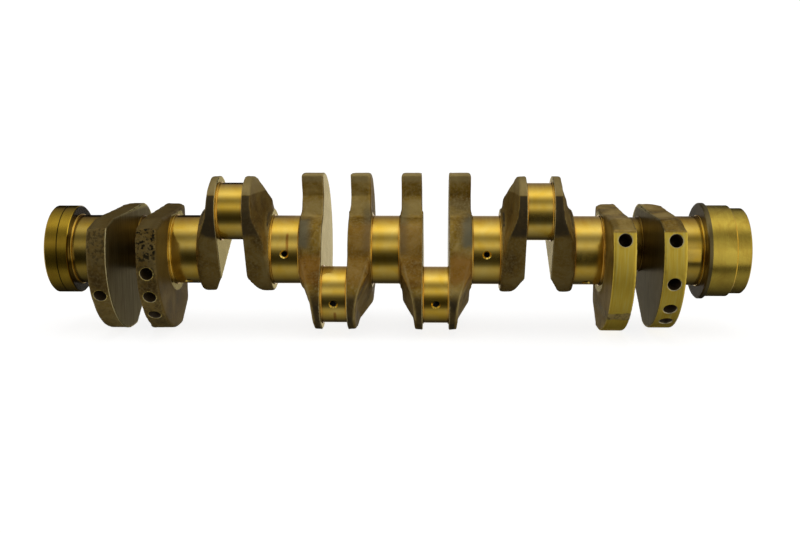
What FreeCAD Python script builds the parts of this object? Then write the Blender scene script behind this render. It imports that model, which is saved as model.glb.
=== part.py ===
import FreeCAD, Part
import math
import os
import Sketcher
from FreeCAD import Placement, Rotation, Vector

# Crankshaft of an inline-six diesel engine: seven main journals on one axis,
# six crankpins 120 degrees apart in mirrored pairs (1-6, 2-5, 3-4) and twelve webs,
# eight of which carry counterweights. The axis of rotation is X, the origin is the
# middle of the centre main journal, and pins 1 and 6 point along +Y.

doc = FreeCAD.newDocument("crankshaft")

# ---------------------------------------------------------------- driving dimensions

DIMENSIONS = [
    ("pitch", 122.5, "spacing of the cylinders"),
    ("throw", 59.0, "crank radius, half the stroke"),
    ("main_radius", 42.5, "main journal"),
    ("main_length", 35.0, "main journal between the web bosses"),
    ("front_main", 33.4, "first main journal, from the front hub to its web"),
    ("rear_main", 31.7, "last main journal, from its web to the oil ring"),
    ("pin_radius", 34.5, "crankpin"),
    ("pin_length", 31.5, "crankpin between the webs"),
    ("fillet", 1.5, "rolled fillet at the ends of each journal"),
    ("plate", 24.4, "counterweight and cheek plate, without its boss"),
    ("boss_radius", 52.0, "thrust boss round each main journal"),
    ("middle_boss", 47.5, "the same on the middle counterweight webs"),
    ("end_plate", 27.0, "plate of the last two webs"),
    ("second_plate", 27.5, "plate of the second web, which is set over towards its main journal"),
    ("second_relief", 2.5, "how far its counterweight is set back from the crankpin"),
    ("middle_plate", 27.0, "plate of the middle counterweight webs"),
    ("inner_relief", 2.0, "the same set-back on the two webs beside the centre journal"),
    ("relief_start", 30.0, "start of that relief, past the main axis"),
    ("relief_end", 45.0, "end of that relief, past the main axis"),
    ("rim_radius", 99.0, "outside of the end counterweights"),
    ("middle_rim", 96.0, "outside of the middle counterweights"),
    ("rear_rim", 95.0, "outside of the last counterweight"),
    ("end_cheek", 52.0, "cheek radius round pins 1 and 6"),
    ("cheek", 43.0, "cheek radius round pins 2 to 5"),
    ("cheek_tip", 9.5, "cheek thickness past the crankpin"),
    ("bevel_start", 46.0, "start of the cheek's bevel, from the main axis"),
    ("bevel_knee", 77.0, "where the bevel turns shallow, from the main axis"),
    ("knee_thickness", 13.0, "cheek thickness at that turn"),
    ("heel_start", 4.0, "start of the heel's bevel, past the main axis"),
    ("heel_thickness", 10.0, "web thickness left at the heel"),
    ("end_waist", 47.0, "near flank of the end counterweight webs beside the main journal"),
    ("end_waist_place", 16.0, "where it is that narrow, past the main axis"),
    ("end_flank", 46.0, "the same flank at its shoulder"),
    ("end_shoulder", 60.0, "that shoulder, past the main axis"),
    ("end_near", 22.0, "near corner of the end counterweights, degrees from the web's centre line"),
    ("waist", 37.0, "near flank of the middle counterweight webs at its waist"),
    ("waist_start", 20.0, "start of the waist, past the main axis"),
    ("waist_end", 55.0, "end of the waist, past the main axis"),
    ("waist_rise", 3.0, "how much wider the flank is at the end of the waist"),
    ("middle_near", 39.0, "near corner of the middle counterweights, degrees"),
    ("far_corner", 99.0, "far corner of every counterweight, degrees"),
    ("far_lean", 0.62, "where the far flank leaves the cheek, as a share of the cheek radius"),
    ("front_radius", 54.3, "front hub"),
    ("front_length", 29.2, "front hub"),
    ("groove_place", 15.2, "line turned round the front hub, from its face"),
    ("groove_width", 0.9, "that line"),
    ("groove_depth", 0.6, "that line"),
    ("ring_radius", 59.0, "oil ring behind the rear main journal"),
    ("ring_length", 5.5, "oil ring"),
    ("rear_radius", 56.0, "rear seal surface"),
    ("rear_length", 30.4, "rear seal surface"),
    ("spigot_radius", 52.5, "flywheel spigot"),
    ("spigot_length", 17.4, "flywheel spigot"),
    ("edge", 1.5, "chamfer on machined edges"),
    ("hole_radius", 5.1, "tapping drill of the end bolts"),
    ("front_pcd", 76.0, "front bolt circle"),
    ("front_depth", 22.0, "front bolt holes"),
    ("rear_pcd", 82.0, "flywheel bolt circle"),
    ("rear_depth", 30.0, "flywheel bolt holes"),
    ("pilot_radius", 26.0, "pilot bearing bore in the rear end"),
    ("pilot_depth", 20.0, "pilot bearing bore"),
    ("centre_radius", 8.0, "lathe centre in the front end"),
    ("centre_depth", 14.0, "lathe centre"),
    ("dowel_radius", 4.0, "dowel hole in each end face"),
    ("dowel_depth", 12.0, "dowel hole"),
    ("front_dowel", 25.0, "front dowel hole, from the axis"),
    ("rear_dowel", 46.0, "rear dowel hole, from the axis"),
    ("oil_radius", 3.3, "oil drillings"),
    ("oil_mouth", 5.4, "chamfered mouth of each oil drilling"),
    ("balance_radius", 7.5, "balance drillings in the rims"),
    ("balance_depth", 22.0, "balance drillings"),
    ("clearance", 3.0, "how far every cutter starts outside the metal"),
]

sheet = doc.addObject("Spreadsheet::Sheet", "Dims")
for row, (alias, value, meaning) in enumerate(DIMENSIONS, start=1):
    sheet.set("A%d" % row, alias)
    sheet.set("B%d" % row, str(value))
    sheet.set("C%d" % row, meaning)
    sheet.setAlias("B%d" % row, alias)
doc.recompute()


def size(alias):
    """Value of one driving dimension."""
    return float(sheet.get(alias))


# Sizes that follow from the driving dimensions.
WEB = "(Dims.pitch - Dims.main_length - Dims.pin_length) / 2"

MAINS = range(1, 8)
PINS = range(1, 7)
PIN_ANGLE = {1: 0, 2: 120, 3: 240, 4: 240, 5: 120, 6: 0}
FRONT_BOLTS = 6
REAR_BOLTS = 8
POINTED = 0.01


def main_centre(number):
    return (number - 4) * size("pitch")


def pin_centre(number):
    return (number - 3.5) * size("pitch")


def along(angle, radius, x=0.0):
    """Point at this angle about the crank axis, 0 along +Y and 90 along +Z."""
    a = math.radians(angle)
    return Vector(x, radius * math.cos(a), radius * math.sin(a))


# ---------------------------------------------------------------- building blocks

def origin_plane(body, role):
    return [f for f in body.Origin.OriginFeatures if f.Role == role][0]


def new_sketch(body, name, role):
    sketch = body.newObject("Sketcher::SketchObject", name)
    sketch.AttachmentSupport = [(origin_plane(body, role), "")]
    sketch.MapMode = "FlatFace"
    return sketch


def bind(sketch, kind, args, name, expression):
    """One dimension of a sketch, tied to the spreadsheet."""
    value = float(sheet.evalExpression(expression))
    index = sketch.addConstraint(Sketcher.Constraint(kind, *args, value))
    sketch.renameConstraint(index, name)
    sketch.setExpression("Constraints." + name, expression)


def closed_outline(sketch, points):
    """Close a ring of points (x, y, arc radius to the next point or None), as expressions.

    A positive arc radius curves the side outward, a negative one hollows it.
    """
    number = [tuple(float(sheet.evalExpression(e)) for e in p[:2]) for p in points]
    count = len(points)
    for i, point in enumerate(points):
        a, b = number[i], number[(i + 1) % count]
        start, end = Vector(a[0], a[1], 0), Vector(b[0], b[1], 0)
        if point[2] is None:
            sketch.addGeometry(Part.LineSegment(start, end), False)
            continue
        radius = float(sheet.evalExpression(point[2]))
        chord = end - start
        sagitta = abs(radius) - math.sqrt(max(radius ** 2 - (chord.Length / 2) ** 2, 0))
        side = Vector(chord.y, -chord.x, 0).normalize() * math.copysign(sagitta, radius)
        sketch.addGeometry(Part.Arc(start, start + chord / 2 + side, end), False)
    for i in range(count):
        join_ends(sketch, i, (i + 1) % count, number[(i + 1) % count])
    for i, point in enumerate(points):
        place_point(sketch, i, start_of(sketch, i, number[i]), point, number[i])
        if point[2] is not None:
            bind(sketch, "Radius", (i,), "arc%d" % i, absolute(point[2]))


def absolute(expression):
    return "abs(%s)" % expression


def start_of(sketch, geometry, where):
    """Which end (1 or 2) of this side of the outline lies at the given place."""
    for end in (1, 2):
        point = sketch.getPoint(geometry, end)
        if math.hypot(point.x - where[0], point.y - where[1]) < 1e-6:
            return end
    raise ValueError("outline side %d does not reach %s" % (geometry, where))


def join_ends(sketch, one, other, where):
    sketch.addConstraint(Sketcher.Constraint(
        "Coincident", one, start_of(sketch, one, where), other, start_of(sketch, other, where)))


def place_point(sketch, geometry, end, point, number):
    """Fix one corner of an outline by its two distances from the sketch's origin."""
    for kind, axis, expression, value, name in (
            ("DistanceX", -2, point[0], number[0], "x%d" % geometry),
            ("DistanceY", -1, point[1], number[1], "y%d" % geometry)):
        if abs(value) < 1e-9:
            sketch.addConstraint(Sketcher.Constraint("PointOnObject", geometry, end, axis))
        elif value > 0:
            bind(sketch, kind, (-1, 1, geometry, end), name, expression)
        else:
            bind(sketch, kind, (geometry, end, -1, 1), name, "-(%s)" % expression)


def turned(name, points, x):
    """Solid of revolution about the crank axis, from a half profile of (x, radius)."""
    body = doc.addObject("PartDesign::Body", name + "_body")
    sketch = new_sketch(body, name + "_profile", "XY_Plane")
    closed_outline(sketch, points)
    turn = body.newObject("PartDesign::Revolution", name + "_turn")
    turn.Profile = sketch
    turn.ReferenceAxis = (sketch, ["H_Axis"])
    turn.Angle = 360
    body.Placement = Placement(Vector(x, 0, 0), Rotation())
    return body


def drill(name, radius, depth, start, direction):
    """Cutter of the given radius and depth (expressions), from a point along a direction."""
    cylinder = doc.addObject("Part::Cylinder", name)
    cylinder.setExpression("Radius", radius)
    cylinder.setExpression("Height", depth)
    cylinder.Placement = Placement(start, Rotation(Vector(0, 0, 1), direction))
    return cylinder


def mouth(name, start, direction):
    """Conical countersink of an oil drilling, whose wide end stands clear of the surface at start."""
    cone = doc.addObject("Part::Cone", name)
    cone.Radius1 = POINTED
    cone.setExpression("Radius2", "Dims.oil_mouth + Dims.clearance")
    cone.setExpression("Height", "Dims.oil_mouth + Dims.clearance")
    apex = start - direction * size("oil_mouth")
    cone.Placement = Placement(apex, Rotation(Vector(0, 0, 1), direction))
    return cone


def finish(name, base, cutters):
    """The finished sub-part: its blank with every drilling taken out."""
    if not cutters:
        base.Label = name
        return base
    tool = cutters[0]
    if len(cutters) > 1:
        tool = doc.addObject("Part::MultiFuse", name + "_drillings")
        tool.Shapes = cutters
    cut = doc.addObject("Part::Cut", name)
    cut.Base = base
    cut.Tool = tool
    cut.Label = name
    return cut


# ---------------------------------------------------------------- journals and hubs

JOURNAL_WALL = "Dims.{0}_radius + Dims.fillet"


def journal(name, kind, length, x):
    """Ground journal whose ends flare into the webs through a rolled fillet."""
    wall = JOURNAL_WALL.format(kind)
    ground = "Dims.%s_radius" % kind
    return turned(name, [
        ("0", "0", None),
        ("0", wall, "-Dims.fillet"),
        ("Dims.fillet", ground, None),
        (length + " - Dims.fillet", ground, "-Dims.fillet"),
        (length, wall, None),
        (length, "0", None),
    ], x)


def front_hub_blank(x):
    return turned("front_hub", [
        ("0", "0", None),
        ("0", "Dims.front_radius - Dims.edge", None),
        ("Dims.edge", "Dims.front_radius", None),
        ("Dims.groove_place", "Dims.front_radius", None),
        ("Dims.groove_place", "Dims.front_radius - Dims.groove_depth", None),
        ("Dims.groove_place + Dims.groove_width", "Dims.front_radius - Dims.groove_depth", None),
        ("Dims.groove_place + Dims.groove_width", "Dims.front_radius", None),
        ("Dims.front_length - Dims.edge", "Dims.front_radius", None),
        ("Dims.front_length", "Dims.front_radius - Dims.edge", None),
        ("Dims.front_length", "0", None),
    ], x)


def oil_ring_blank(x):
    return turned("oil_ring", [
        ("0", "0", None),
        ("0", "Dims.ring_radius - Dims.edge", None),
        ("Dims.edge", "Dims.ring_radius", None),
        ("Dims.ring_length", "Dims.ring_radius", None),
        ("Dims.ring_length", "0", None),
    ], x)


def rear_hub_blank(x):
    whole = "Dims.rear_length + Dims.spigot_length"
    return turned("rear_hub", [
        ("0", "0", None),
        ("0", "Dims.rear_radius", None),
        ("Dims.rear_length - Dims.edge", "Dims.rear_radius", None),
        ("Dims.rear_length", "Dims.rear_radius - Dims.edge", None),
        ("Dims.rear_length", "Dims.spigot_radius", None),
        (whole + " - Dims.edge", "Dims.spigot_radius", None),
        (whole, "Dims.spigot_radius - Dims.edge", None),
        (whole, "0", None),
    ], x)


# ---------------------------------------------------------------- webs

def tangent(radius, cheek, part):
    """Expression for cos or sin of the angle where a line touches both rounds of a web."""
    cosine = "((%s - %s) / Dims.throw)" % (radius, cheek)
    return cosine if part == "cos" else "sqrt(1 - %s ^ 2)" % cosine


def plain_outline():
    """Web without a counterweight: a round at the main journal and one at the pin."""
    main, cheek = "Dims.boss_radius", "Dims.cheek"
    cosine, sine = tangent(main, cheek, "cos"), tangent(main, cheek, "sin")
    return [
        ("Dims.throw + Dims.cheek", "0", cheek),
        ("Dims.throw + %s * %s" % (cheek, cosine), "%s * %s" % (cheek, sine), None),
        ("%s * %s" % (main, cosine), "%s * %s" % (main, sine), main),
        ("-Dims.boss_radius", "0", main),
        ("%s * %s" % (main, cosine), "-%s * %s" % (main, sine), None),
        ("Dims.throw + %s * %s" % (cheek, cosine), "-%s * %s" % (cheek, sine), cheek),
    ]


def far_side(cheek, rim):
    """Far corner of the counterweight and the flank from it to the cheek."""
    corner = "Dims.far_corner * 1 deg"
    reach = "Dims.throw + %s" % cheek
    return [
        ("-%s * cos(%s)" % (rim, corner), "-%s * sin(%s)" % (rim, corner), None),
        ("Dims.throw + %s * Dims.far_lean" % cheek, "-%s * sqrt(1 - Dims.far_lean ^ 2)" % cheek, cheek),
        (reach, "0", cheek),
    ]


def end_outline(rim):
    """Counterweight web of pins 1 and 6, with a nearly straight near flank."""
    corner = "Dims.end_near * 1 deg"
    far = far_side("Dims.end_cheek", rim)
    return [
        far[2],
        ("Dims.throw", "Dims.end_cheek", None),
        ("-Dims.end_waist_place", "Dims.end_waist", None),
        ("-Dims.end_shoulder", "Dims.end_flank", None),
        ("-%s * cos(%s)" % (rim, corner), "%s * sin(%s)" % (rim, corner), rim),
        far[0],
        far[1],
    ]


def middle_outline(rim):
    """Counterweight web of pins 3 and 4, waisted on its near flank."""
    corner = "Dims.middle_near * 1 deg"
    far = far_side("Dims.cheek", rim)
    return [
        far[2],
        ("Dims.throw", "Dims.cheek", None),
        ("-Dims.waist_start", "Dims.waist", None),
        ("-Dims.waist_end", "Dims.waist + Dims.waist_rise", None),
        ("-%s * cos(%s)" % (rim, corner), "%s * sin(%s)" % (rim, corner), rim),
        far[0],
        far[1],
    ]


def boss_outline(radius, flank):
    """Thrust boss, a round cut off level with the web's near flank at its shoulder."""
    chord = "sqrt(%s ^ 2 - %s ^ 2)" % (radius, flank)
    return [
        (radius, "0", radius),
        (chord, flank, None),
        ("-" + chord, flank, radius),
        ("-" + radius, "0", radius),
        ("0", "-" + radius, radius),
    ]


OUTLINE = {1: end_outline, 2: end_outline, 3: plain_outline, 4: plain_outline,
           5: middle_outline, 6: middle_outline, 7: middle_outline, 8: middle_outline,
           9: plain_outline, 10: plain_outline, 11: end_outline, 12: end_outline}


# Webs whose plate or rim differs from the others, and those set back from their crankpin.
PLATE = {2: "Dims.second_plate", 5: "Dims.middle_plate", 6: "Dims.middle_plate",
         7: "Dims.middle_plate", 8: "Dims.middle_plate", 11: "Dims.end_plate", 12: "Dims.end_plate"}
RIM = {5: "Dims.middle_rim", 6: "Dims.middle_rim", 7: "Dims.middle_rim", 8: "Dims.middle_rim",
       12: "Dims.rear_rim"}
RELIEF = {2: "Dims.second_relief", 6: "Dims.inner_relief", 7: "Dims.inner_relief"}


def pad(body, sketch, name, length, backwards):
    feature = body.newObject("PartDesign::Pad", name)
    feature.Profile = sketch
    feature.setExpression("Length", length)
    feature.Reversed = backwards
    return feature


def pocket_across(body, name, corners):
    """Wedge planed off the web right across its width, from corners (x, distance from the axis)."""
    sketch = new_sketch(body, name + "_sketch", "XY_Plane")
    closed_outline(sketch, [(x, y, None) for x, y in corners])
    feature = body.newObject("PartDesign::Pocket", name)
    feature.Profile = sketch
    feature.Type = "ThroughAll"
    feature.Midplane = True
    return feature


def web_blank(number):
    """One web: plate at its crankpin, bevelled cheek, thrust boss at its main journal."""
    pin = (number + 1) // 2
    before_pin = number % 2 == 1
    outline = OUTLINE[number]
    name = "web_%d" % number
    # The main journal lies on the -X side of a web that comes before its pin.
    side = "-1" if before_pin else "1"
    # The near flank of the middle counterweights is turned over to the other side.
    lean = -1 if outline is middle_outline else 1

    rim = RIM.get(number, "Dims.rim_radius")
    corners = outline() if outline is plain_outline else outline(rim)
    body = doc.addObject("PartDesign::Body", name + "_body")
    plate_sketch = new_sketch(body, name + "_outline", "YZ_Plane")
    closed_outline(plate_sketch, [
        (s, "%d * (%s)" % (lean, t), None if arc is None else "%d * %s" % (lean, arc))
        for s, t, arc in corners])
    plate = PLATE.get(number, "Dims.plate")
    pad(body, plate_sketch, name + "_plate", plate, before_pin)

    cheek = "Dims.end_cheek" if outline is end_outline else "Dims.cheek"
    tip = "Dims.throw + %s + Dims.clearance" % cheek
    outside = side + " * (" + WEB + " + Dims.clearance)"
    pocket_across(body, name + "_cheek_bevel", [
        (outside, "Dims.bevel_start"),
        (side + " * " + plate, "Dims.bevel_start"),
        (side + " * Dims.knee_thickness", "Dims.bevel_knee"),
        (side + " * Dims.cheek_tip", tip),
        (outside, tip),
    ])
    if number in RELIEF:
        below = "-(%s + Dims.clearance)" % rim
        pocket_across(body, name + "_relief", [
            (side + " * -Dims.clearance", "-Dims.relief_start"),
            ("0", "-Dims.relief_start"),
            (side + " * " + RELIEF[number], "-Dims.relief_end"),
            (side + " * " + RELIEF[number], below),
            (side + " * -Dims.clearance", below),
        ])

    boss_sketch = new_sketch(body, name + "_boss_outline", "YZ_Plane")
    if outline is end_outline:
        closed_outline(boss_sketch, boss_outline("Dims.boss_radius", "Dims.end_flank"))
    else:
        radius = "Dims.middle_boss" if outline is middle_outline else "Dims.boss_radius"
        centre = Vector(0, 0, 0)
        circle = Part.Circle(centre, Vector(0, 0, 1), float(sheet.evalExpression(radius)))
        boss_sketch.addGeometry(circle, False)
        boss_sketch.addConstraint(Sketcher.Constraint("Coincident", 0, 3, -1, 1))
        bind(boss_sketch, "Radius", (0,), "boss", radius)
    body.Tip = pad(body, boss_sketch, name + "_boss", WEB, before_pin)

    if outline is plain_outline:
        heel = "-(Dims.boss_radius + Dims.clearance)"
        body.Tip = pocket_across(body, name + "_heel_bevel", [
            ("0", "-Dims.heel_start"),
            (side + " * (" + WEB + " - Dims.heel_thickness)", heel),
            ("0", heel),
        ])
    face = pin_centre(pin) + (-0.5 if before_pin else 0.5) * size("pin_length")
    body.Placement = Placement(Vector(face, 0, 0), Rotation(Vector(1, 0, 0), PIN_ANGLE[pin]))
    return body


# ---------------------------------------------------------------- drillings

# Each pin is fed from one main: a drilling straight across that main, and a slanting one
# from the pin's surface through the web to the middle of the main.
FEED = {1: 1, 2: 2, 3: 3, 4: 5, 5: 6, 6: 7}
CROSS_ANGLE = {1: 80, 2: 60, 3: 180, 4: 180, 5: 60, 6: 80}
MOUTH_LAG = 49.5

BALANCE = {1: [206], 2: [189, 207, 225], 11: [165], 12: [165, 196, 218, 234]}


def oil_cross(pin):
    """Drilling right across the main that feeds this pin, with both mouths chamfered."""
    name = "oil_cross_%d" % pin
    out = along(CROSS_ANGLE[pin], 1)
    middle = Vector(main_centre(FEED[pin]), 0, 0)
    length = "2 * (Dims.main_radius + Dims.clearance)"
    start = middle - out * (size("main_radius") + size("clearance"))
    cutters = [drill(name, "Dims.oil_radius", length, start, out)]
    for end, sense in (("a", 1), ("b", -1)):
        surface = middle + out * sense * size("main_radius")
        cutters.append(mouth(name + end, surface, out * sense))
    return cutters


def oil_slant(pin):
    """Slanting drilling from the pin's surface to the middle of its main, and its mouth."""
    outward = along(PIN_ANGLE[pin] - MOUTH_LAG, 1)
    surface = along(PIN_ANGLE[pin], size("throw"), pin_centre(pin)) + outward * size("pin_radius")
    middle = Vector(main_centre(FEED[pin]), 0, 0)
    inward = middle - surface
    depth = inward.Length
    inward.normalize()
    # The drilling is slanted, so it starts twice as far out to clear the round of the pin.
    lead = 2 * size("clearance")
    cutter = drill("oil_slant_%d" % pin, "Dims.oil_radius", "%.6f + 2 * Dims.clearance" % depth,
                   surface - inward * lead, inward)
    return cutter, mouth("oil_mouth_%d" % pin, surface, outward)


def bolt_circle(name, count, face, outward):
    """Blind bolt holes on a circle, and a dowel hole on its own radius between the first two."""
    holes = []
    outside = face + outward.x * size("clearance")
    for i in range(count):
        start = along(360.0 * i / count, size(name + "_pcd") / 2, outside)
        holes.append(drill("%s_bolt_%d" % (name, i + 1), "Dims.hole_radius",
                           "Dims.%s_depth + Dims.clearance" % name, start, -outward))
    start = along(180.0 / count, size(name + "_dowel"), outside)
    holes.append(drill(name + "_dowel_hole", "Dims.dowel_radius", "Dims.dowel_depth + Dims.clearance",
                       start, -outward))
    return holes


def balance_holes(number):
    """Radial drillings in a counterweight's rim, at the middle of its thickness."""
    pin = (number + 1) // 2
    sense = -1 if number % 2 == 1 else 1
    plate, relief = PLATE.get(number, "Dims.plate"), RELIEF.get(number, "0")
    middle = float(sheet.evalExpression("(%s + %s) / 2" % (plate, relief)))
    rim = float(sheet.evalExpression(RIM.get(number, "Dims.rim_radius")))
    x = pin_centre(pin) + sense * (size("pin_length") / 2 + middle)
    cutters = []
    for i, angle in enumerate(BALANCE.get(number, [])):
        start = along(angle, rim + size("clearance"), x)
        cutters.append(drill("balance_%d_%d" % (number, i + 1), "Dims.balance_radius",
                             "Dims.balance_depth + Dims.clearance", start, -along(angle, 1)))
    return cutters


# ---------------------------------------------------------------- assembly

cross = {pin: oil_cross(pin) for pin in PINS}
slant = {pin: oil_slant(pin) for pin in PINS}
fed_by_main = {main: pin for pin, main in FEED.items()}
drilled_web = {2 * pin - 1 if FEED[pin] == pin else 2 * pin: pin for pin in PINS}

parts = []

front_face = main_centre(1) + size("main_length") / 2 - size("front_main") - size("front_length")
forward = Vector(-1, 0, 0)
front_drillings = bolt_circle("front", FRONT_BOLTS, front_face, forward)
lathe_centre = doc.addObject("Part::Cone", "lathe_centre")
lathe_centre.setExpression("Radius1", "Dims.centre_radius")
lathe_centre.Radius2 = POINTED
lathe_centre.setExpression("Height", "Dims.centre_depth")
lathe_centre.Placement = Placement(Vector(front_face, 0, 0), Rotation(Vector(0, 0, 1), -forward))
parts.append(finish("front_hub", front_hub_blank(front_face), front_drillings + [lathe_centre]))

for main in MAINS:
    length = {1: "Dims.front_main", 7: "Dims.rear_main"}.get(main, "Dims.main_length")
    start = main_centre(main) - size("main_length") / 2
    if main == 1:
        start += size("main_length") - size("front_main")
    cutters = []
    if main in fed_by_main:
        pin = fed_by_main[main]
        cutters = cross[pin] + [slant[pin][0]]
    name = "main_journal_%d" % main
    parts.append(finish(name, journal(name, "main", length, start), cutters))

for pin in PINS:
    name = "crankpin_%d" % pin
    blank = journal(name, "pin", "Dims.pin_length", 0)
    offset = along(PIN_ANGLE[pin], size("throw"), pin_centre(pin) - size("pin_length") / 2)
    blank.Placement = Placement(offset, Rotation())
    parts.append(finish(name, blank, list(slant[pin])))

for number in OUTLINE:
    cutters = balance_holes(number)
    if number in drilled_web:
        cutters.append(slant[drilled_web[number]][0])
    parts.append(finish("web_%d" % number, web_blank(number), cutters))

ring_start = main_centre(7) - size("main_length") / 2 + size("rear_main")
parts.append(finish("oil_ring", oil_ring_blank(ring_start), []))

rear_start = ring_start + size("ring_length")
rear_face = rear_start + size("rear_length") + size("spigot_length")
backward = Vector(1, 0, 0)
rear_drillings = bolt_circle("rear", REAR_BOLTS, rear_face, backward)
rear_drillings.append(drill("pilot_bore", "Dims.pilot_radius", "Dims.pilot_depth + Dims.clearance",
                            Vector(rear_face + size("clearance"), 0, 0), forward))
parts.append(finish("rear_hub", rear_hub_blank(rear_start), rear_drillings))

doc.recompute()

# ---------------------------------------------------------------- checks and files

for thing in doc.Objects:
    if "Invalid" in thing.State or "Error" in thing.State:
        raise RuntimeError("%s did not recompute: %s" % (thing.Name, thing.State))

os.makedirs("parts", exist_ok=True)
for part in parts:
    shape = part.Shape
    if shape.isNull() or not shape.isValid():
        raise RuntimeError("%s has no valid shape" % part.Label)
    if len(shape.Solids) != 1:
        raise RuntimeError("%s has %d solids" % (part.Label, len(shape.Solids)))
for part in parts:
    part.Shape.exportStep("parts/%s.step" % part.Label)
    box = part.Shape.BoundBox
    print("%-16s %9.0f mm3  X %7.1f %7.1f  Y %6.1f %6.1f  Z %6.1f %6.1f" % (
        part.Label, part.Shape.Volume, box.XMin, box.XMax, box.YMin, box.YMax, box.ZMin, box.ZMax))
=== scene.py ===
import math

import bmesh
import bpy
import numpy as np
from mathutils import Matrix, Vector, noise


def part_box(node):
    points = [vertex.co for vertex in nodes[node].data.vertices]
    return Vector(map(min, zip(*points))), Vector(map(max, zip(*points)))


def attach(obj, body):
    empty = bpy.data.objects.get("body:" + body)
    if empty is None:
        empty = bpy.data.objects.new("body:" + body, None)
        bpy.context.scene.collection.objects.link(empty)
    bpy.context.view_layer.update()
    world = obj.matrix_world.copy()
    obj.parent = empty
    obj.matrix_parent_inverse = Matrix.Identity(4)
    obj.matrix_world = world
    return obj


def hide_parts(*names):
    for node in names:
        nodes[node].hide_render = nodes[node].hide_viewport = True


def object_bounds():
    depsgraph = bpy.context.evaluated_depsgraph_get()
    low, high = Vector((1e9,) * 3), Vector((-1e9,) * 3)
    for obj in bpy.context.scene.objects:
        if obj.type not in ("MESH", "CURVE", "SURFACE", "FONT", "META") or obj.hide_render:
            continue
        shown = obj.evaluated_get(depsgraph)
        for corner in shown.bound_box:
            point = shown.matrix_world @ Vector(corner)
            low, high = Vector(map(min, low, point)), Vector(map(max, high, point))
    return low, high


# An inline-six crankshaft. The shaft's axis is X, so every reflection on its journals depends on
# where a direction lies in the YZ plane: "turn" below is that angle, 0 towards the viewer (-Y),
# 90 straight up, 180 away (+Y) and -90 straight down.

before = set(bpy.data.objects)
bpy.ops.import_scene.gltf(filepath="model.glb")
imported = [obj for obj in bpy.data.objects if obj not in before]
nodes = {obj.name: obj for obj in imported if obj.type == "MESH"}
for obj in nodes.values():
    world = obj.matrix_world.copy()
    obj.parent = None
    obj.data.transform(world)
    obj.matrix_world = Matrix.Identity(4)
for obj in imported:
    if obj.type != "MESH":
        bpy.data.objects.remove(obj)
cad_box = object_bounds()

MM = 0.001
FILLET = 1.5 * MM
MAINS = range(1, 8)
WEBS = range(1, 13)


def centre(node):
    low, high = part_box(node)
    return (low + high) / 2


def half_size(node, axis):
    """Half of a node's box along X (0), Y (1) or Z (2)."""
    low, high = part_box(node)
    return (high[axis] - low[axis]) / 2


MIDDLE = centre("main_journal_4")
PITCH = centre("main_journal_5").x - MIDDLE.x
MAIN_HALF = half_size("main_journal_4", 0)
PIN_HALF = half_size("crankpin_3", 0)
# The journals' own radii: their nodes also hold the fillets, which stand out by their radius.
MAIN_RADIUS = half_size("main_journal_4", 2) - FILLET
PIN_RADIUS = half_size("crankpin_3", 2) - FILLET


# ---------------------------------------------------------------- node helpers

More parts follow.
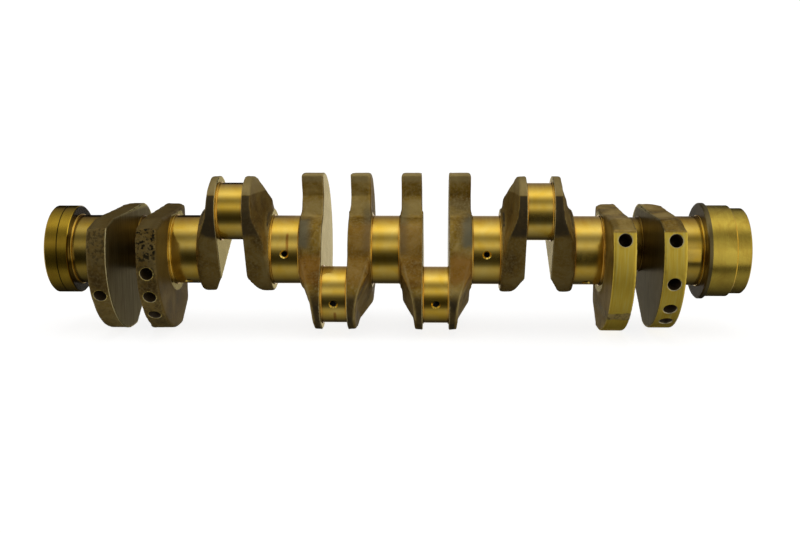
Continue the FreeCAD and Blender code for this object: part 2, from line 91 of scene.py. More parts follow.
class Shader:
    """Small wrapper round a node tree, so that a material reads as a list of steps."""

    def __init__(self, tree):
        self.tree = tree

    def node(self, kind, **settings):
        made = self.tree.nodes.new(kind)
        for key, value in settings.items():
            setattr(made, key, value)
        return made

    def feed(self, socket, value):
        if isinstance(value, bpy.types.NodeSocket):
            self.tree.links.new(value, socket)
        elif value is not None:
            socket.default_value = value

    def math(self, operation, a, b=None, c=None, clamp=False):
        made = self.node("ShaderNodeMath", operation=operation, use_clamp=clamp)
        for socket, value in zip(made.inputs, (a, b, c)):
            self.feed(socket, value)
        return made.outputs[0]

    def split(self, vector):
        made = self.node("ShaderNodeSeparateXYZ")
        self.feed(made.inputs[0], vector)
        return made.outputs

    def attribute(self, name):
        """The four channels of a mesh's colour attribute."""
        made = self.node("ShaderNodeAttribute", attribute_name=name)
        colours = self.node("ShaderNodeSeparateColor")
        self.feed(colours.inputs[0], made.outputs["Color"])
        return (*colours.outputs, made.outputs["Alpha"])

    def scale(self, vector, factors):
        made = self.node("ShaderNodeVectorMath", operation="MULTIPLY")
        self.feed(made.inputs[0], vector)
        made.inputs[1].default_value = factors
        return made.outputs[0]

    def noise(self, vector, scale, detail=3.0, roughness=0.55, distortion=0.0):
        made = self.node("ShaderNodeTexNoise")
        self.feed(made.inputs["Vector"], vector)
        made.inputs["Scale"].default_value = scale
        made.inputs["Detail"].default_value = detail
        made.inputs["Roughness"].default_value = roughness
        made.inputs["Distortion"].default_value = distortion
        return made.outputs["Fac"]

    def ramp(self, value, stops):
        """Straight lines through (place, grey or colour) stops."""
        made = self.node("ShaderNodeValToRGB")
        elements = made.color_ramp.elements
        while len(elements) < len(stops):
            elements.new(1.0)
        for element, (place, shade) in zip(elements, stops):
            element.position = place
            element.color = (*shade, 1) if isinstance(shade, tuple) else (shade, shade, shade, 1)
        self.feed(made.inputs[0], value)
        return made.outputs[0]

    def band(self, value, low, high, soft):
        """1 between low and high, fading to 0 over soft on both sides."""
        rising = self.over(value, low - soft, low)
        falling = self.over(value, high + soft, high)
        return self.math("MULTIPLY", rising, falling)

    def over(self, value, start, end):
        """0 at start, 1 at end, smooth between."""
        made = self.node("ShaderNodeMapRange", interpolation_type="SMOOTHSTEP")
        self.feed(made.inputs["Value"], value)
        made.inputs["From Min"].default_value = start
        made.inputs["From Max"].default_value = end
        return made.outputs[0]

    def mix(self, factor, a, b):
        made = self.node("ShaderNodeMix", data_type="RGBA")
        colours = [socket for socket in made.inputs if socket.type == "RGBA"]
        self.feed(made.inputs[0], factor)
        for socket, value in zip(colours, (a, b)):
            self.feed(socket, (*value, 1) if isinstance(value, tuple) else value)
        return next(socket for socket in made.outputs if socket.type == "RGBA")

    def bump(self, height, distance, strength):
        made = self.node("ShaderNodeBump")
        self.feed(made.inputs["Height"], height)
        made.inputs["Distance"].default_value = distance
        made.inputs["Strength"].default_value = strength
        return made.outputs[0]

    def place(self):
        return self.node("ShaderNodeTexCoord").outputs["Object"]


def new_material(name, metallic, roughness):
    """A material, the helper for its node tree, and its surface node."""
    made = bpy.data.materials.new(name)
    made.use_nodes = True
    surface = made.node_tree.nodes["Principled BSDF"]
    surface.inputs["Metallic"].default_value = metallic
    surface.inputs["Roughness"].default_value = roughness
    return made, Shader(made.node_tree), surface


def dress(node, material):
    target = nodes[node]
    target.data.materials.clear()
    target.data.materials.append(material)


# ---------------------------------------------------------------- materials

GOLD = (0.93, 0.585, 0.062)
GOLD_PALE = (0.98, 0.70, 0.16)
TINT_RED = (0.62, 0.21, 0.03)
RUST_RUN = (0.50, 0.19, 0.02)
DRILLING_SHADE_BLACK = (0.010, 0.008, 0.005)
HUB_OLIVE = (0.86, 0.55, 0.05)
HUB_YELLOW = (1.0, 0.73, 0.11)
HUB_PAINTED_SHADE = (0.10, 0.065, 0.01)
PIN_PAINTED_SHADE = (0.17, 0.095, 0.010)
FACE_PAINTED_SHADE = (0.115, 0.070, 0.010)
HUB_STAIN = (0.55, 0.30, 0.03)
RING_DARK = (0.26, 0.20, 0.08)
RING_STAIN = (0.12, 0.09, 0.035)
FORGED_DARK = (0.17, 0.092, 0.010)
FORGED = (0.390, 0.232, 0.030)
FORGED_PALE = (0.640, 0.450, 0.130)
FORGED_DUST_AND_HIGHLIGHT = (0.60, 0.47, 0.20)
CHARCOAL = (0.078, 0.056, 0.026)
BLUED = (0.210, 0.200, 0.130)
RUST = (0.330, 0.130, 0.014)
PIT_BLACK = (0.012, 0.009, 0.004)
FORGED_SHEEN = (0.86, 0.76, 0.50)
FACE_DARK = (0.66, 0.54, 0.24)
FACE_PALE = (0.82, 0.73, 0.40)
RIM_DARK = (0.92, 0.62, 0.07)
RIM_GOLD = (1.0, 0.73, 0.10)
RIM_PALE = (1.0, 0.80, 0.20)
DRILLED_PAINTED_SHADE = (0.075, 0.045, 0.014)
DRILLED_BRIGHT = (0.80, 0.68, 0.38)

# Below the ground surface, in metres, where an oil drilling's wall is painted black as shade: wholly,
# and not yet.
SKIN_DEEP = 0.0021
SKIN_SHALLOW = 0.0015


def journal_material(name, first_centre, half, axis, radius, smears=(), painted_shade_share=0.0):
    """Ground journal under a golden coat: fine lines round it, redder at its ends and top, and painted
    shade, black, inside its oil drilling. Smears are rust below or above a drilling, each as its place
    along X and its lowest and highest point; the last argument is the share of painted shade, a dark
    brown, over the whole journal."""
    made, s, surface = new_material(name, 1.0, 0.2)
    place = s.place()
    x, y, z = s.split(place)
    spacing = s.math("PINGPONG", s.math("SUBTRACT", x, first_centre), PITCH / 2)
    lines = s.noise(s.scale(place, (5200, 16, 16)), 1.0, 2.0)
    broad = s.noise(s.scale(place, (230, 8, 8)), 1.0, 3.0)
    cloud = s.noise(place, 38.0, 4.0, 0.6, 0.4)
    shade = s.mix(s.ramp(cloud, [(0.35, 0.0), (0.7, 1.0)]), GOLD, GOLD_PALE)
    edge = s.math("MULTIPLY", s.over(spacing, half * 0.70, half), 0.55)
    side_y = s.math("SUBTRACT", y, axis.y)
    side_z = s.math("SUBTRACT", z, axis.z)
    top = s.math("MULTIPLY", s.over(side_z, radius * 0.72, radius * 1.02), 0.55)
    tint = s.math("MULTIPLY", s.math("MAXIMUM", edge, top), s.ramp(broad, [(0.3, 0.35), (0.62, 1.0)]))
    shade = s.mix(s.math("MULTIPLY", tint, 0.8), shade, TINT_RED)
    film_and_painted_shade = s.noise(s.scale(place, (120, 30, 30)), 1.0, 4.0, 0.65)
    for along, low, high in smears:
        run = s.math("MULTIPLY", s.band(x, along - 0.0008, along + 0.0008, 0.0016),
                     s.band(side_z, low, high, 0.004))
        run = s.math("MULTIPLY", run, s.math("LESS_THAN", side_y, 0.0))
        run = s.math("MULTIPLY", run, s.ramp(film_and_painted_shade, [(0.35, 0.3), (0.6, 1.0)]))
        shade = s.mix(s.math("MULTIPLY", run, 0.85), shade, RUST_RUN)
    reach = s.math("SQRT", s.math("ADD", s.math("MULTIPLY", side_y, side_y),
                                  s.math("MULTIPLY", side_z, side_z)))
    # Painted shade: the oil drilling's wall is coloured black from just below the ground surface, and
    # made matt.
    skin = s.over(reach, radius - SKIN_DEEP, radius - SKIN_SHALLOW)
    shade = s.mix(skin, DRILLING_SHADE_BLACK, shade)
    # Painted shade over the whole journal, by the given share.
    s.feed(surface.inputs["Base Color"], s.mix(painted_shade_share, shade, PIN_PAINTED_SHADE))
    s.feed(surface.inputs["Metallic"], skin)
    rough = s.math("ADD", s.math("MULTIPLY_ADD", lines, 0.06, 0.085 + 0.2 * painted_shade_share),
                   s.math("MULTIPLY", s.ramp(film_and_painted_shade, [(0.42, 0.0), (0.7, 1.0)]), 0.05))
    rough = s.math("MULTIPLY_ADD", skin, s.math("SUBTRACT", rough, 1.0), 1.0)
    s.feed(surface.inputs["Roughness"], rough)
    s.feed(surface.inputs["Normal"], s.bump(lines, 0.000010, 0.5))
    return made


def hub_material(name, colour, stain, rough, groove=(), inner_face=None):
    """Turned hub: coarser lathe lines and a cloudy coat. It has painted shade in its groove, given as
    the start and end along X, and on its inner face, given as that face's place along X."""
    made, s, surface = new_material(name, 1.0, rough)
    place = s.place()
    lines = s.noise(s.scale(place, (2600, 10, 10)), 1.0, 2.0)
    broad = s.noise(s.scale(place, (90, 12, 12)), 1.0, 4.0, 0.6)
    cloud = s.noise(place, 46.0, 5.0, 0.62, 0.8)
    shade = s.mix(s.ramp(cloud, [(0.42, 0.0), (0.72, 0.5)]), colour, stain)
    shade = s.mix(s.ramp(broad, [(0.48, 0.0), (0.70, 0.30)]), shade, stain)
    along = s.split(place)[0]
    # Painted shade in the groove and on the inner face.
    if groove:
        shade = s.mix(s.band(along, groove[0], groove[1], 0.0003), shade, HUB_PAINTED_SHADE)
    if inner_face is not None:
        shade = s.mix(s.over(along, inner_face - 0.0012, inner_face - 0.0006), shade, HUB_PAINTED_SHADE)
    s.feed(surface.inputs["Base Color"], shade)
    s.feed(surface.inputs["Roughness"], s.math("MULTIPLY_ADD", lines, 0.10, rough))
    s.feed(surface.inputs["Normal"], s.bump(lines, 0.000015, 0.5))
    return made


def hole_material(name, colour, metallic, rough):
    """Bored metal: the inside of a balance drilling, coloured dark as painted shade, or its bright
    chamfer.
    """
    made, s, surface = new_material(name, metallic, rough)
    cloud = s.noise(s.place(), 420.0, 4.0, 0.6)
    shade = s.mix(s.ramp(cloud, [(0.35, 0.0), (0.7, 0.6)]), colour, tuple(0.45 * c for c in colour))
    s.feed(surface.inputs["Base Color"], shade)
    s.feed(surface.inputs["Roughness"], s.math("MULTIPLY_ADD", cloud, 0.2, rough))
    return made


def plain_white(name, strength, diffuse):
    """Matt white that also gives light of its own, for the floor and the backdrop."""
    made, _, surface = new_material(name, 0.0, 0.9)
    surface.inputs["Base Color"].default_value = (diffuse, diffuse, diffuse, 1)
    surface.inputs["Specular IOR Level"].default_value = 0.0
    surface.inputs["Emission Color"].default_value = (1, 1, 1, 1)
    surface.inputs["Emission Strength"].default_value = strength
    return made


def forged_material():
    """Forging scale over the whole web, with the finishes and painted light that web_marks stored in the
    mesh. In marks:
    charcoal, blue, rust and ground faces. In the other attribute: pale edges and painted highlights,
    gold rims, pits and painted shade on the side faces of the end webs."""
    made, s, surface = new_material("forged_scale", 0.5, 0.5)
    surface.inputs["Specular IOR Level"].default_value = 0.25
    surface.inputs["Specular Tint"].default_value = (*FORGED_SHEEN, 1)
    place = s.place()
    big = s.noise(place, 24.0, 5.0, 0.62, 0.6)
    fine = s.noise(place, 340.0, 4.0, 0.6)
    grit = s.noise(place, 900.0, 2.0, 0.6)
    char, blue, rust, ground = s.attribute("marks")
    pale, gold, pits, film_and_painted_shade = s.attribute("wear_and_painted_light")

    tone = s.ramp(big, [(0.36, FORGED_DARK), (0.5, FORGED), (0.66, FORGED_PALE)])
    tone = s.mix(s.ramp(fine, [(0.45, 0.0), (0.75, 0.55)]), tone, FORGED_DUST_AND_HIGHLIGHT)
    # Pale edges and painted highlights, mixed towards the dust colour.
    tone = s.mix(s.math("MULTIPLY", pale, 0.6), tone, FORGED_DUST_AND_HIGHLIGHT)
    # The same large noise breaks up the edges of the three stains.
    broken = s.math("MULTIPLY", s.math("SUBTRACT", big, 0.5), 1.6)
    for share, colour in ((char, CHARCOAL), (blue, BLUED), (rust, RUST)):
        stain = s.math("ADD", share, s.math("MULTIPLY", broken, share), clamp=True)
        tone = s.mix(stain, tone, colour)
    specks = s.ramp(s.noise(place, 260.0, 2.0, 0.5), [(0.40, 1.0), (0.52, 0.0)])
    holes = s.math("MULTIPLY", pits, specks)
    tone = s.mix(holes, tone, PIT_BLACK)

    lines = s.noise(s.scale(place, (3600, 60, 60)), 1.0, 2.0)
    feed_marks = s.noise(s.scale(place, (14, 420, 26)), 1.0, 3.0)
    face = s.ramp(feed_marks, [(0.30, FACE_DARK), (0.66, FACE_PALE)])
    rim = s.ramp(s.noise(s.scale(place, (420, 22, 22)), 1.0, 4.0, 0.6),
                 [(0.32, RIM_DARK), (0.52, RIM_GOLD), (0.72, RIM_PALE)])
    tone = s.mix(ground, tone, face)
    streaks = s.ramp(feed_marks, [(0.30, 1.0), (0.75, 0.75)])
    # Painted shade on the end webs' side faces, streaked by the feed marks.
    tone = s.mix(s.math("MULTIPLY", film_and_painted_shade, streaks), tone, FACE_PAINTED_SHADE)
    s.feed(surface.inputs["Base Color"], s.mix(gold, tone, rim))

    machined = s.math("MAXIMUM", ground, gold)
    # The painted shade is also less metallic and a little rougher, except on the gold rims.
    bare = s.math("MULTIPLY", film_and_painted_shade, s.math("SUBTRACT", 1.0, gold))
    metal = s.math("MULTIPLY_ADD", machined, 0.5, 0.5)
    s.feed(surface.inputs["Metallic"], s.math("MULTIPLY_ADD", bare, -0.35, metal, clamp=True))
    scale_rough = s.math("MULTIPLY_ADD", fine, 0.30, 0.30)
    cut_rough = s.math("MULTIPLY_ADD", gold, 0.20, s.math("MULTIPLY_ADD", lines, 0.10, 0.20))
    blend = s.node("ShaderNodeMix", data_type="FLOAT")
    s.feed(blend.inputs[0], machined)
    s.feed(blend.inputs[2], scale_rough)
    s.feed(blend.inputs[3], cut_rough)
    s.feed(surface.inputs["Roughness"], s.math("MULTIPLY_ADD", bare, 0.06, blend.outputs[0]))
    relief = s.math("ADD", s.math("MULTIPLY", fine, 0.6), s.math("MULTIPLY", grit, 0.25))
    relief = s.math("SUBTRACT", relief, s.math("MULTIPLY", holes, 0.9))
    soft = s.math("MULTIPLY_ADD", machined, -0.93, 1.0)
    s.feed(surface.inputs["Normal"], s.bump(s.math("MULTIPLY", relief, soft), 0.0007, 0.6))
    return made


# ---------------------------------------------------------------- camera, floor and light

# The camera's place from the middle of the shaft, and how it is turned, in metres and degrees. Its
# sensor and lens are in millimetres.
CAMERA_DISTANCE = 1.2449
CAMERA_ALONG = 0.0601
CAMERA_RISE = 8.34
CAMERA_DIP = 0.96
CAMERA_SWING = -2.03
CAMERA_ROLL = -0.10
SENSOR = 36.0
LENS = 44.97

# The stage, in metres: the floor lies just under the shaft, inside the backdrop.
FLOOR_RADIUS = 28.0
FLOOR_GAP = 0.0002
BACKDROP_RADIUS = 30.0


def stand_camera():
    """A low, slightly raised view square to the shaft."""
    distance, height = CAMERA_DISTANCE, math.radians(CAMERA_RISE)
    down = math.radians(CAMERA_RISE + CAMERA_DIP)
    swing, roll = math.radians(CAMERA_SWING), math.radians(CAMERA_ROLL)
    camera = bpy.data.cameras.new("camera")
    camera.sensor_width = SENSOR
    camera.lens = LENS
    camera.clip_end = 100.0
    holder = bpy.data.objects.new("camera", camera)
    bpy.context.scene.collection.objects.link(holder)
    holder.location = MIDDLE + Vector((CAMERA_ALONG, -distance * math.cos(height),
                                       distance * math.sin(height)))
    look = Vector((math.sin(swing) * math.cos(down), math.cos(swing) * math.cos(down),
                   -math.sin(down)))
    right = Vector((math.cos(swing), -math.sin(swing), 0))
    up = right.cross(look)
    right, up = (right * math.cos(roll) + up * math.sin(roll),
                 up * math.cos(roll) - right * math.sin(roll))
    matrix = holder.matrix_world.to_3x3()
    matrix.col[0], matrix.col[1], matrix.col[2] = right, up, -look
    holder.rotation_euler = matrix.to_euler()
    bpy.context.scene.camera = holder


def disc(name, radius, z, count=96):
    mesh = bpy.data.meshes.new(name)
    turns = [2 * math.pi * i / count for i in range(count)]
    mesh.from_pydata([(radius * math.cos(t), radius * math.sin(t), z) for t in turns], [],
                     [list(range(count))])
    made = bpy.data.objects.new(name, mesh)
    bpy.context.scene.collection.objects.link(made)
    return made


def lay_stage():
    """Pale floor under the shaft and a pale shell far round it, seen directly but not in reflections."""
    floor = disc("floor", FLOOR_RADIUS, cad_box[0][2] - FLOOR_GAP)
    floor.data.materials.append(plain_white("floor_white", strength=0.84, diffuse=0.5))
    bpy.ops.mesh.primitive_uv_sphere_add(segments=48, ring_count=24, radius=BACKDROP_RADIUS)
    shell = bpy.context.object
    shell.name = "backdrop"
    shell.data.materials.append(plain_white("backdrop_white", strength=1.05, diffuse=0.0))
    for thing in (floor, shell):
        thing.visible_glossy = False
        thing.visible_diffuse = False
        thing.visible_transmission = False
        thing.visible_shadow = False


# Brightness of the studio against turn in degrees, as the ground journals show it.
STUDIO = [(-180, 0.95), (-166, 0.9), (-158, 0.45), (-148, 0.06), (-136, 0.02), (-118, 0.055),
          (-94, 0.15), (-74, 0.26), (-64, 0.30), (-54, 0.25), (-42, 0.08), (-30, 0.03), (-18, 0.028),
          (-6, 0.06), (4, 0.16), (13, 0.37), (22, 0.56), (31, 0.46), (42, 0.28), (49, 0.25),
          (56, 0.36), (65, 0.64), (74, 0.95), (82, 0.98), (94, 0.78), (106, 0.58), (122, 0.40),
          (140, 0.26), (158, 0.22), (172, 0.5), (180, 0.95)]
# Its gain, and the light of a low panel on the +X side, from the -X end (0) to the +X end (1).
ACROSS = [(0.0, 0.5), (0.30, 0.36), (0.355, 0.42), (0.40, 0.95), (0.49, 1.0), (0.58, 0.95),
          (0.645, 0.55), (0.75, 0.6), (1.0, 0.6)]
SIDE_PANEL = [(0.6, 0.0), (0.64, 0.6), (0.72, 0.6), (0.8, 0.2)]
# The panel's lowest and highest turn and its soft edge, in degrees.
SIDE_PANEL_TURN = (-22.0, 6.0, 14.0)
# The white paper behind the shaft begins between these turns, in degrees. Towards +X and -X it ends
# between these directions, and past them it is darker by this share.
PAPER_TURN = (138, 152)
PAPER_PLUS = (0.21, 0.28)
PAPER_MINUS = (0.13, 0.18)
PAPER_DARKENING = 0.95
# Soft panels in line with the shaft, which light its end faces.
END_PANEL = (0.45, 0.75)
END_PANEL_LIGHT = 0.40


def light_studio():
    """A world that stands for the studio's panels and paper, as a product of a curve over turn and a
    gain across the directions along X."""
    world = bpy.data.worlds.new("studio")
    world.use_nodes = True
    bpy.context.scene.world = world
    s = Shader(world.node_tree)
    x, y, z = s.split(s.node("ShaderNodeTexCoord").outputs["Generated"])
    turn = s.math("ARCTAN2", z, s.math("MULTIPLY", y, -1.0))
    place = s.math("MULTIPLY_ADD", turn, 1 / (2 * math.pi), 0.5, clamp=True)
    base = s.ramp(place, [((angle + 180) / 360, level) for angle, level in STUDIO])
    across = s.math("MULTIPLY_ADD", x, 0.5, 0.5)
    gain = s.ramp(across, ACROSS)
    low = s.band(s.math("MULTIPLY", turn, 180 / math.pi), *SIDE_PANEL_TURN)
    light = s.math("MULTIPLY_ADD", s.ramp(across, SIDE_PANEL), low, s.math("MULTIPLY", base, gain))
    ends = s.math("MAXIMUM", s.over(x, *PAPER_PLUS), s.over(s.math("MULTIPLY", x, -1.0), *PAPER_MINUS))
    start, end = (math.radians(angle) for angle in PAPER_TURN)
    behind = s.math("MULTIPLY", s.over(s.math("ABSOLUTE", turn), start, end), ends)
    light = s.math("MULTIPLY", light, s.math("MULTIPLY_ADD", behind, -PAPER_DARKENING, 1.0))
    panels = s.over(s.math("ABSOLUTE", x), *END_PANEL)
    light = s.math("MULTIPLY_ADD", panels, END_PANEL_LIGHT, light)
    background = world.node_tree.nodes["Background"]
    s.feed(background.inputs["Color"], light)
    background.inputs["Strength"].default_value = 1.0


def set_up_view():
    view = bpy.context.scene.view_settings
    view.view_transform = "Standard"
    view.look = "None"


# ---------------------------------------------------------------- webs

# Lengths here are in millimetres, except where MM is a factor. Balance drillings: degrees about the
# axis from +Y, as in the CAD rims, and distance of each web's row from its pin-side face.
BALANCE = {1: [206], 2: [189, 207, 225], 11: [165], 12: [165, 196, 218, 234]}
BALANCE_PLACE = {1: 12.2, 2: 15.0, 11: 13.5, 12: 13.5}
BALANCE_RADIUS = 7.5
BALANCE_DEPTH = 22.0
CHAMFER = 0.8
PLUG_SPARE = 0.8
VOXEL = 1.5
SMOOTHING_PASSES = 9
END_WEBS = (1, 2, 11, 12)
PLAIN_WEBS = (3, 4, 9, 10)
MIDDLE_WEBS = (5, 6, 7, 8)
GOLD_RIMS = (11, 12)
PITTED_WEBS = (1, 2)
BOSS = 47.5
END_BOSS = 52.0
# The forging line of the middle webs: height, and distance from the pin-side face.
RIDGE = ((-82.0, -62.0, -48.0, -32.0, -14.0, 0.0), (8.0, 9.5, 12.0, 16.5, 22.0, 26.0))
RIDGE_WIDTH = 1.2
RIDGE_HEIGHT = 0.9
# Height and wavelength of the forging's broad and small waves, and how far its skin is set back so
# that they stay inside the CAD shape.
BROAD_WAVE = (0.35, 34.0)
SMALL_WAVE = (0.16, 9.0)
SET_BACK = 0.45


def rise(value, start, end):
    """0 at start, 1 at end, smooth between, for arrays."""
    share = np.clip((value - start) / (end - start), 0, 1)
    return share * share * (3 - 2 * share)


def bump_between(value, low, high, soft):
    """1 between low and high, fading to 0 over soft on both sides, for arrays."""
    return rise(value, low - soft, low) * (1 - rise(value, high, high + soft))


def smooth_shape(mesh, keep, passes):
    """Laplacian smoothing of the points, less where keep is near 1."""
    count = len(mesh.vertices)
    places = np.empty(count * 3)
    mesh.vertices.foreach_get("co", places)
    places = places.reshape(-1, 3)
    edges = np.empty(len(mesh.edges) * 2, dtype=np.int64)
    mesh.edges.foreach_get("vertices", edges)
    edges = edges.reshape(-1, 2)
    ends = np.concatenate((edges[:, 0], edges[:, 1]))
    others = np.concatenate((edges[:, 1], edges[:, 0]))
    valence = np.maximum(np.bincount(ends, minlength=count), 1)
    give = (0.5 * (1 - keep))[:, None]
    for _ in range(passes):
        mean = np.stack([np.bincount(ends, weights=places[others, axis], minlength=count) / valence
                         for axis in range(3)], axis=1)
        places += (mean - places) * give
    mesh.vertices.foreach_set("co", places.ravel())
    mesh.update()


def points_of(mesh):
    places = np.empty(len(mesh.vertices) * 3)
    mesh.vertices.foreach_get("co", places)
    return places.reshape(-1, 3)


def normals_of(mesh):
    normals = np.empty(len(mesh.vertices) * 3)
    mesh.vertices.foreach_get("normal", normals)
    return normals.reshape(-1, 3)


def fractal(places, wavelength, seed, octaves=3):
    """Smooth seeded noise at each point, roughly -1 to 1; the wavelength is in millimetres."""
    shift = Vector((seed * 17.3, seed * 5.1, seed * 9.7))
    return np.array([noise.fractal(Vector(place) * (1 / wavelength) + shift, 1.0, 2.1, octaves)
                     for place in places])


def round_cutter(radius, length, mouth, count=48):
    """Closed drill shape along +Z from the tip at -length, opening to a chamfer past z = 0."""
    rings = [(-length, radius), (-mouth, radius), (mouth, radius + 2 * mouth)]
    bm = bmesh.new()
    loops = []
    for z, r in rings:
        loops.append([bm.verts.new((r * math.cos(2 * math.pi * i / count),
                                    r * math.sin(2 * math.pi * i / count), z)) for i in range(count)])
    for low, high in zip(loops, loops[1:]):
        for i in range(count):
            j = (i + 1) % count
            bm.faces.new((low[i], low[j], high[j], high[i]))
    tip = bm.verts.new((0, 0, -length - radius * 0.6))
    for i in range(count):
        bm.faces.new((loops[0][(i + 1) % count], loops[0][i], tip))
    bm.faces.new(loops[-1])
    return bm


def aim(angle, x, radius):
    """Placement whose +Z points outward at this angle about the axis, in metres."""
    outward = Vector((0, math.cos(math.radians(angle)), math.sin(math.radians(angle))))
    turn = Vector((0, 0, 1)).rotation_difference(outward).to_matrix().to_4x4()
    return Matrix.Translation(Vector((x, 0, 0)) + outward * radius * MM) @ turn


class Web:
    """One web's place: its pin-side face, the side its main journal is on, and its main sizes."""

    def __init__(self, number):
        self.number = number
        pin = centre("crankpin_%d" % ((number + 1) // 2))
        self.sense = -1 if number % 2 == 1 else 1
        self.face = pin.x + self.sense * PIN_HALF
        low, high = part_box("web_%d" % number)
        self.thick = (high.x - low.x) / MM
        self.rim = max(-low.z, high.z) / MM
        self.boss = BOSS if number in MIDDLE_WEBS else END_BOSS
        offset = Vector((0, pin.y - MIDDLE.y, pin.z - MIDDLE.z)).normalized()
        self.toward = np.array((offset.y, offset.z))

    def depth(self, places):
        """Distance of each point from the pin-side face, in millimetres."""
        return (places[:, 0] - self.face) * self.sense / MM

    def reach(self, places):
        """Distance of each point from the axis towards the pin, in millimetres."""
        return (places[:, 1:] / MM) @ self.toward

    def balance_x(self):
        """Place along X of the web's balance drillings, in metres."""
        return self.face + self.sense * BALANCE_PLACE[self.number] * MM


def forged_skin(web):
    """The web's own CAD shape, plugged where it is drilled, as an even skin of small quads."""
    source = nodes["web_%d" % web.number]
    bm = bmesh.new()
    bm.from_mesh(source.data)
    bmesh.ops.remove_doubles(bm, verts=bm.verts, dist=1e-6)
    plug = (BALANCE_RADIUS + PLUG_SPARE) * MM
    middle = web.rim - 0.2 - BALANCE_DEPTH / 2
    for angle in BALANCE.get(web.number, []):
        bmesh.ops.create_cone(bm, cap_ends=True, segments=32, radius1=plug, radius2=plug,
                              depth=(BALANCE_DEPTH + 1) * MM, matrix=aim(angle, web.balance_x(), middle))
    mesh = bpy.data.meshes.new("skin")
    bm.to_mesh(mesh)
    bm.free()
    holder = bpy.data.objects.new("skin", mesh)
    bpy.context.scene.collection.objects.link(holder)
    skin = holder.modifiers.new("skin", "REMESH")
    skin.mode = "VOXEL"
    skin.voxel_size = VOXEL * MM
    made = bpy.data.meshes.new_from_object(holder.evaluated_get(bpy.context.evaluated_depsgraph_get()))
    bpy.data.objects.remove(holder)
    return made


def flatten_faces(web, mesh):
    """Put the machined sides back on their planes after smoothing: the whole pin side, and the boss on
    the main journal's side."""
    places, normals = points_of(mesh), normals_of(mesh)
    depth = web.depth(places)
    radius = np.hypot(places[:, 1], places[:, 2]) / MM
    flat = np.abs(normals[:, 0]) > 0.93
    for level, reach in ((0.0, 2 * web.rim), (web.thick, web.boss)):
        near = (np.abs(depth - level) < 0.9) & flat & (radius < reach)
        places[near, 0] = web.face + web.sense * level * MM
    mesh.vertices.foreach_set("co", places.ravel())
    mesh.update()


def ridge_on(web, depth, y, z):
    """Share of the raised forging line that curves down the front of a middle web, at each point."""
    if web.number not in MIDDLE_WEBS:
        return np.zeros(len(z))
    line = np.interp(z, *RIDGE)
    share = np.exp(-((depth - line) / RIDGE_WIDTH) ** 2)
    return share * bump_between(z, -74.0, -14.0, 8.0) * rise(-y, 0.0, 12.0)


def wrinkle(web, mesh):
    """Hammered waves, rim pits and the forging line, all of them off the machined faces."""
    places, normals = points_of(mesh), normals_of(mesh)
    depth = web.depth(places)
    radius = np.hypot(places[:, 1], places[:, 2]) / MM
    free = rise(depth, 0.6, 4.0) * (1 - rise(depth, web.thick - 1.6, web.thick - 0.6))
    if web.number in GOLD_RIMS:
        free *= 1 - rise(radius, web.rim - 2.5, web.rim - 1.0)
    in_mm = places / MM
    waves = BROAD_WAVE[0] * fractal(in_mm, BROAD_WAVE[1], web.number)
    waves = waves + SMALL_WAVE[0] * fractal(in_mm, SMALL_WAVE[1], web.number + 20)
    pits = np.zeros(len(places))
    if web.number in PITTED_WEBS:
        rim = rise(radius, web.rim - 4, web.rim - 1)
        upper = rise(in_mm[:, 2], -18.0, 12.0)
        deepest = 1.0 if web.number == 2 else 0.45
        pits = rim * (0.25 + 0.75 * upper) * rise(fractal(in_mm, 3.6, 7, 2), 0.05, 0.6) * deepest
    ridge = ridge_on(web, depth, in_mm[:, 1], in_mm[:, 2])
    move = free * (waves - SET_BACK - pits) + RIDGE_HEIGHT * ridge
    places += normals * (move * MM)[:, None]
    mesh.vertices.foreach_set("co", places.ravel())
    mesh.update()


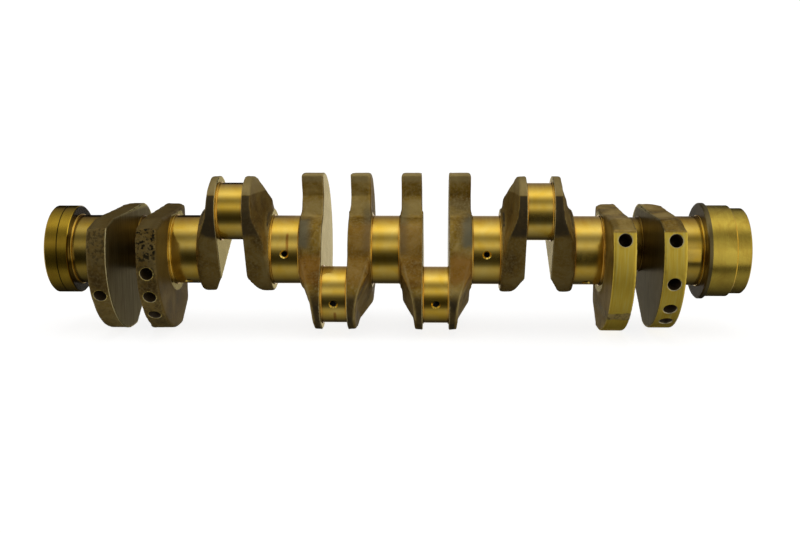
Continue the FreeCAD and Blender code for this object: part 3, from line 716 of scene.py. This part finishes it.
def web_marks(web, mesh):
    """Store how much of each finish, and of painted light, every point of the web carries, for
    forged_material.
    """
    places = points_of(mesh)
    depth = web.depth(places)
    y, z = places[:, 1] / MM, places[:, 2] / MM
    radius = np.hypot(y, z)
    ragged = 3.0 * fractal(places / MM, 14.0, web.number + 40)
    char, blue, rust, pale, gold, pits, film_and_painted_shade = np.zeros((7, len(places)))
    ridge = ridge_on(web, depth, y, z)
    boss = rise(depth, web.thick - 0.6, web.thick - 0.15) * (1 - rise(radius, web.boss - 1.2, web.boss))
    ground = np.maximum(1 - rise(depth, 0.25, 0.9), boss)
    outside = 1 - ground
    # The stains beside the bearings are on the viewer's side.
    near = rise(-y, 5.0, 20.0)
    if web.number in PLAIN_WEBS:
        # Charcoal beside the pin and on the heel, and a pale bevel at the top.
        strip = 1 - rise(np.abs(normals_of(mesh)[:, 0]), 0.35, 0.6)
        char = outside * strip * rise(z, 14.0 + ragged, 30.0 + ragged)
        char = char * (1 - rise(z, 72.8, 73.7)) * near
        pale = rise(z, 73.2, 74.0)
        heel = (1 - rise(web.reach(places), -40.0, -30.0)) * rise(depth, 12.0, 16.0)
        char = np.maximum(char, outside * np.maximum(0.65 * heel, 0.45 * (1 - 0.6 * pale)))
    if web.number in (5, 8):
        # Blued beside mains 3 and 5, with rust below.
        blue = outside * 0.8 * bump_between(z + 2 * ragged, 14.0, 38.0, 12.0) * rise(depth, 9.0, 21.0)
        blue = blue * near
        rust = outside * 0.6 * bump_between(z + 2 * ragged, -26.0, -6.0, 14.0) * near
    if web.number in (6, 7):
        # Fainter, on either side of main 4.
        blue = outside * 0.45 * bump_between(z + ragged, 6.0, 56.0, 8.0) * rise(depth, 14.0, 24.0)
        blue = blue * near
        rust = outside * 0.35 * bump_between(z + ragged, -30.0, 30.0, 12.0) * near
    if web.number in MIDDLE_WEBS:
        # Painted highlights at the top and on the forging line, and darker low on the pin's side of that
        # line.
        pale = rise(z, 82.0, 88.0) + 0.5 * bump_between(z + ragged, 48.0, 60.0, 6.0) + ridge
        inner = 1 - rise(depth - np.interp(z, *RIDGE), -1.5, 0.5)
        char = outside * (0.25 + 0.6 * inner) * rise(-z + ragged, 36.0, 54.0) * (1 - ridge)
    if web.number in GOLD_RIMS:
        # Turned rim, which on web 11 carries one rough scar.
        gold = rise(radius, web.rim - 1.3, web.rim - 0.5)
        gold = gold * (1 - rise(z, 33.5, 34.5)) * (1 - rise(y, -6, 0))
        if web.number == 11:
            scar = bump_between(z + 0.6 * ragged, -72.0, -65.0, 2.5)
            gold = gold * (1 - 0.9 * scar)
            pits = scar * 0.6
            pale = pale + scar
    if web.number in PITTED_WEBS:
        # Pits on the rim and charcoal all over, both fainter lower down.
        rim = rise(radius, web.rim - 3, web.rim - 1)
        lower = rise(-z, 30.0, 50.0)
        pits = rim * (0.3 + 0.7 * rise(z, -18.0, 12.0)) * (1.0 if web.number == 2 else 0.5)
        pale = pale + 0.35 * rim * lower
        char = 0.6 * outside * (1 - 0.5 * lower)
    if web.number in END_WEBS:
        # Painted shade on both side faces, a dark brown, kept off the rim and the top edge.
        edge = rise(radius, web.rim - 2.5, web.rim - 1.0)
        edge = np.maximum(edge, rise(z, 44.0, 49.0))
        far_side = rise(depth, 17.0, 21.0) * (1 - boss)
        pin_side = (1 - rise(depth, 0.25, 3.0)) * (1.0 if web.number in (1, 12) else 0.8)
        film_and_painted_shade = np.maximum(pin_side, 0.55 * far_side) * (1 - edge)
    for name, values in (("marks", (char, blue, rust, ground)), ("wear_and_painted_light", (pale, gold, pits, film_and_painted_shade))):
        layer = mesh.attributes.new(name, "FLOAT_COLOR", "POINT")
        layer.data.foreach_set("color", np.clip(np.stack(values, axis=1), 0, 1).ravel())


def drill_rim(web, piece, inside, chamfer):
    """Balance drillings with their bright chamfers, cut into the finished skin."""
    angles = BALANCE.get(web.number, [])
    if not angles:
        return
    whole = bmesh.new()
    for angle in angles:
        bm = round_cutter(BALANCE_RADIUS * MM, BALANCE_DEPTH * MM, CHAMFER * MM)
        bm.transform(aim(angle, web.balance_x(), web.rim))
        part = bpy.data.meshes.new("cutter_part")
        bm.to_mesh(part)
        bm.free()
        whole.from_mesh(part)
    mesh = bpy.data.meshes.new("cutters")
    bmesh.ops.recalc_face_normals(whole, faces=whole.faces)
    whole.to_mesh(mesh)
    whole.free()
    cutter = bpy.data.objects.new("cutters", mesh)
    bpy.context.scene.collection.objects.link(cutter)
    mesh.materials.append(inside)
    mesh.materials.append(chamfer)
    for face in mesh.polygons:
        middle = face.center / MM
        depth = web.rim - math.hypot(middle.y, middle.z)
        face.material_index = 1 if depth < 1.5 * CHAMFER else 0
    cut = piece.modifiers.new("drill", "BOOLEAN")
    cut.material_mode = "TRANSFER"
    cut.operation = "DIFFERENCE"
    cut.object = cutter
    cut.solver = "EXACT"
    made = bpy.data.meshes.new_from_object(piece.evaluated_get(bpy.context.evaluated_depsgraph_get()))
    piece.modifiers.clear()
    piece.data = made
    bpy.data.objects.remove(cutter)


def build_web(number, material, inside, chamfer):
    """Replace one CAD web with its finished forging; the pin side and turned rims stay crisp."""
    web = Web(number)
    mesh = forged_skin(web)
    places = points_of(mesh)
    keep = 1 - rise(web.depth(places), 1.0, 4.5)
    if number in GOLD_RIMS:
        radius = np.hypot(*(places[:, 1:] / MM).T)
        keep = np.maximum(keep, 0.9 * rise(radius, web.rim - 3, web.rim - 1.5))
    smooth_shape(mesh, 0.85 * keep, SMOOTHING_PASSES)
    flatten_faces(web, mesh)
    wrinkle(web, mesh)
    web_marks(web, mesh)
    piece = bpy.data.objects.new("forged_web_%d" % number, mesh)
    bpy.context.scene.collection.objects.link(piece)
    piece.data.materials.append(material)
    drill_rim(web, piece, inside, chamfer)
    piece.data.polygons.foreach_set("use_smooth", [True] * len(piece.data.polygons))
    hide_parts("web_%d" % number)
    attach(piece, "root")


# ---------------------------------------------------------------- the scene

# Rust that has run from the drillings of main 3 and pin 3: place along X, lowest and highest point.
MAIN_SMEARS = [(centre("main_journal_3").x + 0.0035, -0.004, 0.022)]
PIN_SMEARS = [(centre("crankpin_3").x + 0.0012, -0.031, -0.019)]
# Share of painted shade, a dark brown, on the outer pair of pins.
OUTER_PIN_PAINTED_SHADE = 0.75
# The fine line round the front hub, from its front end, in metres.
GROOVE_START = 0.0152
GROOVE_END = 0.0161

stand_camera()
lay_stage()
light_studio()
set_up_view()

forged = forged_material()
# Painted shade inside the balance drillings.
inside = hole_material("drilled_painted_shade", DRILLED_PAINTED_SHADE, metallic=0.3, rough=0.45)
chamfer = hole_material("drilled_bright", DRILLED_BRIGHT, metallic=1.0, rough=0.25)
main_gold = journal_material("ground_mains", MIDDLE.x, MAIN_HALF, MIDDLE, MAIN_RADIUS, MAIN_SMEARS)
for number in MAINS:
    dress("main_journal_%d" % number, main_gold)
for number in (1, 2, 3):
    axis = centre("crankpin_%d" % number)
    smears = PIN_SMEARS if number == 3 else ()
    # Painted shade on pins 1 and 6, which share this material.
    film_and_painted_shade = OUTER_PIN_PAINTED_SHADE if number == 1 else 0.0
    gold = journal_material("ground_pins_%d" % number, MIDDLE.x + PITCH / 2, PIN_HALF, axis,
                            PIN_RADIUS, smears, film_and_painted_shade)
    dress("crankpin_%d" % number, gold)
    dress("crankpin_%d" % (7 - number), gold)
front_low, front_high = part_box("front_hub")
groove = (front_low.x + GROOVE_START, front_low.x + GROOVE_END)
dress("front_hub", hub_material("turned_front", HUB_OLIVE, HUB_STAIN, 0.16, groove, front_high.x))
dress("rear_hub", hub_material("turned_rear", HUB_YELLOW, HUB_STAIN, 0.20))
dress("oil_ring", hub_material("turned_ring", RING_DARK, RING_STAIN, 0.30))
for number in WEBS:
    build_web(number, forged, inside, chamfer)
